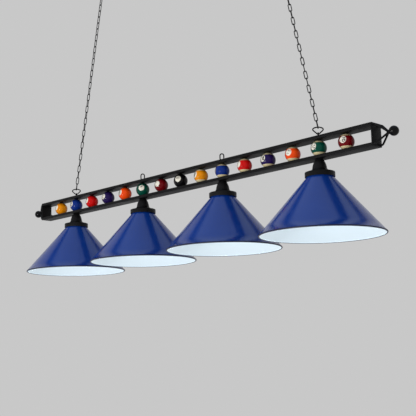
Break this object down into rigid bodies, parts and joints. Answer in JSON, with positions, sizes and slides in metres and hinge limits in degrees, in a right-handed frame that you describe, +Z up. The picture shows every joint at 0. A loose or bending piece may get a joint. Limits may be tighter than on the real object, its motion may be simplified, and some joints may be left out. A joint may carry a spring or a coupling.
{
  "type": "pool table lamp",
  "caption": "Billiards pendant light: flat bar frame with a row of pool balls between its rails, blue conical steel shades below, hung on two converging chains.",
  "frame": {"origin": "on the ceiling, at the centre of the four screw holes of the two ceiling plates", "axes": "+X along the bar, towards ball 15; +Y to the back; +Z up, into the ceiling"},
  "size_m": [1.838, 0.39, 1.2506],
  "materials": {
    "black_coat": "black powder coat, satin, very fine texture",
    "cap_black": "black powder coat, satin",
    "knob_black": "black, semi-gloss",
    "chain_black": "black plated steel wire, satin",
    "ceiling_black": "black powder coat, satin",
    "shade_enamel": "royal blue gloss enamel outside, white enamel inside",
    "holder_plastic": "black moulded plastic",
    "zinc_steel": "zinc plated steel",
    "wire_insulation": "soft insulation",
    "bulb_glass": "frosted white glass on a plated screw base",
    "ball_01_resin": "polished resin, solid colour, cream number disc",
    "ball_02_resin": "polished resin, solid colour, cream number disc",
    "ball_03_resin": "polished resin, solid colour, cream number disc",
    "ball_04_resin": "polished resin, solid colour, cream number disc",
    "ball_05_resin": "polished resin, solid colour, cream number disc",
    "ball_06_resin": "polished resin, solid colour, cream number disc",
    "ball_07_resin": "polished resin, solid colour, cream number disc",
    "ball_08_resin": "polished resin, solid colour, cream number disc",
    "ball_09_resin": "polished resin, cream with a wide coloured stripe, cream number disc",
    "ball_10_resin": "polished resin, cream with a wide coloured stripe, cream number disc",
    "ball_11_resin": "polished resin, cream with a wide coloured stripe, cream number disc",
    "ball_12_resin": "polished resin, cream with a wide coloured stripe, cream number disc",
    "ball_13_resin": "polished resin, cream with a wide coloured stripe, cream number disc",
    "ball_14_resin": "polished resin, cream with a wide coloured stripe, cream number disc",
    "ball_15_resin": "polished resin, cream with a wide coloured stripe, cream number disc"
  },
  "bodies": {
    "ceiling": {"ceiling_plate_left": "ceiling_black", "ceiling_plate_right": "ceiling_black", "ceiling_hook_left": "ceiling_black", "ceiling_hook_right": "ceiling_black"},
    "top_link_l": {"top_link_left": "chain_black"},
    "top_link_r": {"top_link_right": "chain_black"},
    "chain_l": {"chain_left": "chain_black"},
    "chain_r": {"chain_right": "chain_black"},
    "hangers": {"hanger_left": "black_coat", "hanger_right": "black_coat"},
    "fixture": {"top_rail": "black_coat", "bottom_rail": "black_coat", "end_plate_left": "black_coat", "end_plate_right": "black_coat", "end_plate_screws": "black_coat", "ball_01": "ball_01_resin", "ball_02": "ball_02_resin", "ball_03": "ball_03_resin", "ball_04": "ball_04_resin", "ball_05": "ball_05_resin", "ball_06": "ball_06_resin", "ball_07": "ball_07_resin", "ball_08": "ball_08_resin", "ball_09": "ball_09_resin", "ball_10": "ball_10_resin", "ball_11": "ball_11_resin", "ball_12": "ball_12_resin", "ball_13": "ball_13_resin", "ball_14": "ball_14_resin", "ball_15": "ball_15_resin", "ball_pins": "zinc_steel", "eye_outer_left": "black_coat", "eye_inner_left": "black_coat", "eye_inner_right": "black_coat", "eye_outer_right": "black_coat", "shade_cap_1": "cap_black", "shade_cap_2": "cap_black", "shade_cap_3": "cap_black", "shade_cap_4": "cap_black", "shade_1": "shade_enamel", "shade_2": "shade_enamel", "shade_3": "shade_enamel", "shade_4": "shade_enamel", "lampholder_1": "holder_plastic", "lampholder_2": "holder_plastic", "lampholder_3": "holder_plastic", "lampholder_4": "holder_plastic", "shade_rings": "holder_plastic", "threaded_nipples": "zinc_steel", "rail_leads": "wire_insulation", "lamp_leads": "wire_insulation", "cord_grip": "holder_plastic", "finial_cage_left": "black_coat", "finial_cage_right": "black_coat", "finial_knob_left": "knob_black", "finial_knob_right": "knob_black"},
    "bulb_1": {"bulb_1": "bulb_glass"},
    "bulb_2": {"bulb_2": "bulb_glass"},
    "bulb_3": {"bulb_3": "bulb_glass"},
    "bulb_4": {"bulb_4": "bulb_glass"}
  },
  "joints": [
    {"name": "swing", "type": "hinge", "parent": "ceiling", "child": "top_link_l", "pos_m": [-0.434, 0, -0.035], "axis": [1, 0, 0], "range_deg": [-15, 15]},
    {"name": "swing_right", "type": "hinge", "parent": "ceiling", "child": "top_link_r", "pos_m": [0.434, 0, -0.035], "axis": [1, 0, 0], "range_deg": [-16, 16]},
    {"name": "sway", "type": "hinge", "parent": "top_link_l", "child": "chain_l", "pos_m": [-0.43908, 0, -0.05779], "axis": [0, -1, 0], "range_deg": [-4, 4]},
    {"name": "sway_right", "type": "hinge", "parent": "top_link_r", "child": "chain_r", "pos_m": [0.43908, 0, -0.05779], "axis": [0, -1, 0], "range_deg": [-5, 5]},
    {"name": "sway_hanger", "type": "hinge", "parent": "chain_l", "child": "hangers", "pos_m": [-0.63, 0, -0.91478], "axis": [0, -1, 0], "range_deg": [-4, 4]},
    {"name": "tilt", "type": "hinge", "parent": "hangers", "child": "fixture", "pos_m": [-0.63, 0, -0.93678], "axis": [1, 0, 0], "range_deg": [-10, 10]},
    {"name": "bulb_1_turn", "type": "hinge", "parent": "fixture", "child": "bulb_1", "pos_m": [-0.63, 0, -1.09558], "axis": [0, 0, 1], "range_deg": [0, 720]},
    {"name": "bulb_2_turn", "type": "hinge", "parent": "fixture", "child": "bulb_2", "pos_m": [-0.21, 0, -1.09558], "axis": [0, 0, 1], "range_deg": [0, 720]},
    {"name": "bulb_3_turn", "type": "hinge", "parent": "fixture", "child": "bulb_3", "pos_m": [0.21, 0, -1.09558], "axis": [0, 0, 1], "range_deg": [0, 720]},
    {"name": "bulb_4_turn", "type": "hinge", "parent": "fixture", "child": "bulb_4", "pos_m": [0.63, 0, -1.09558], "axis": [0, 0, 1], "range_deg": [0, 720]}
  ],
  "couplings": [
    {"joint": "swing_right", "follows": "swing", "ratio": 1},
    {"joint": "sway_right", "follows": "sway", "ratio": 1},
    {"joint": "sway_hanger", "follows": "sway", "ratio": -0.69695}
  ]
}
